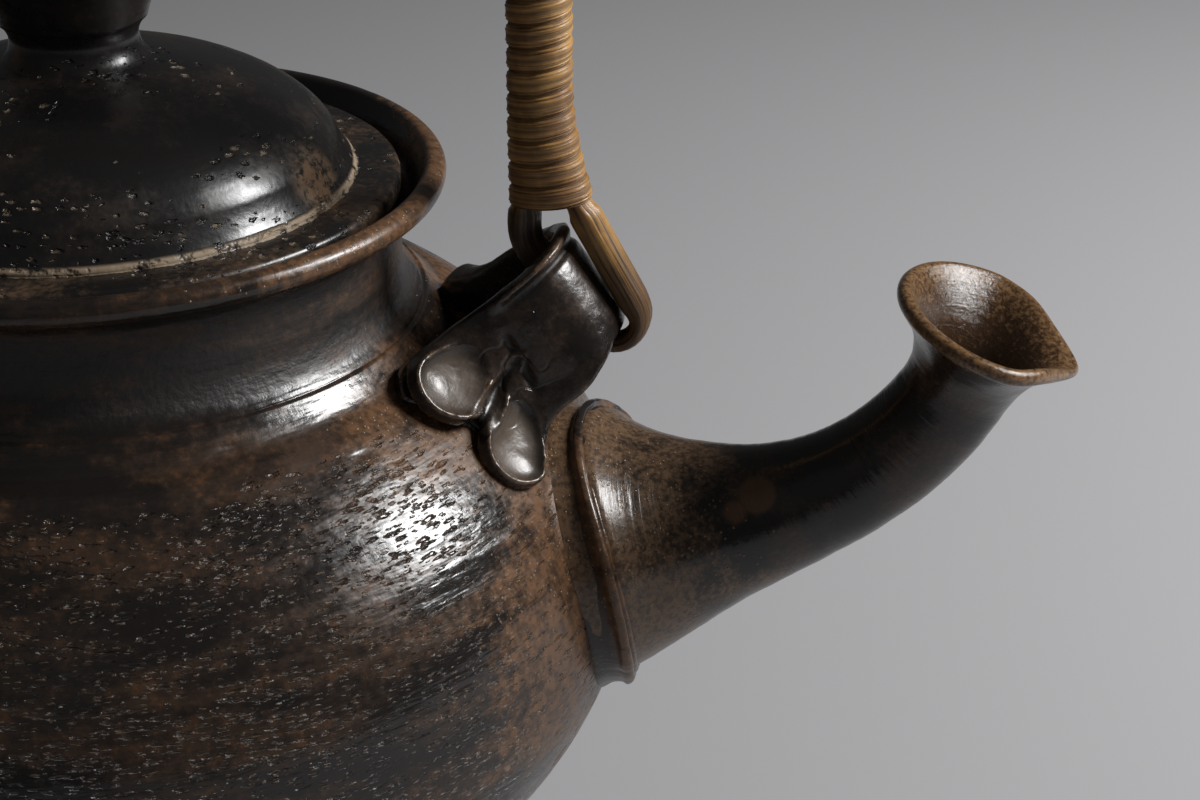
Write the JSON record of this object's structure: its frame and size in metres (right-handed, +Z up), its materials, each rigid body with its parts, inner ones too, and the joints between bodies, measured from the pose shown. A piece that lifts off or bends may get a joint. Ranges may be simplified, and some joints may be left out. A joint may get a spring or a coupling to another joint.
{
  "type": "teapot",
  "caption": "Round-bellied glazed stoneware teapot with a curved flared spout, a domed lid in a flared rim, strap lugs and an overhead handle of cane bound with split cane.",
  "frame": {"origin": "centre of the flat foot, on the surface that the pot stands on", "axes": "+Z up through the lid, +X along the spout, so that XZ is the plane of symmetry"},
  "size_m": [0.2627, 0.183, 0.2464],
  "materials": {
    "pot_glaze": "satin dark iron glaze, pitted",
    "spout_glaze": "satin dark iron glaze, browner at the foot and lip",
    "lug_glaze": "glossy dark iron glaze",
    "lid_glaze": "glossy near-black glaze",
    "cane": "satin cane",
    "split_cane": "satin split cane"
  },
  "bodies": {
    "pot": {"pot_body": "pot_glaze", "spout": "spout_glaze", "spout_coil": "pot_glaze", "spout_strainer": "pot_glaze", "front_lug": "lug_glaze", "rear_lug": "lug_glaze"},
    "lid": {"lid": "lid_glaze", "lid_knob": "lid_glaze"},
    "handle": {"handle_cane": "cane", "filler_cane": "cane", "front_binding": "split_cane", "front_bend_binding": "split_cane", "grip_binding": "split_cane", "rear_bend_binding": "split_cane", "rear_binding": "split_cane"}
  },
  "joints": [
    {"name": "lid_lift", "type": "slide", "parent": "pot", "child": "lid", "axis": [0, 0, 1], "range_m": [0, 0.05]},
    {"name": "handle_sway", "type": "hinge", "parent": "pot", "child": "handle", "pos_m": [0, 0, 0.11], "axis": [1, 0, 0], "range_deg": [-10, 10]}
  ]
}
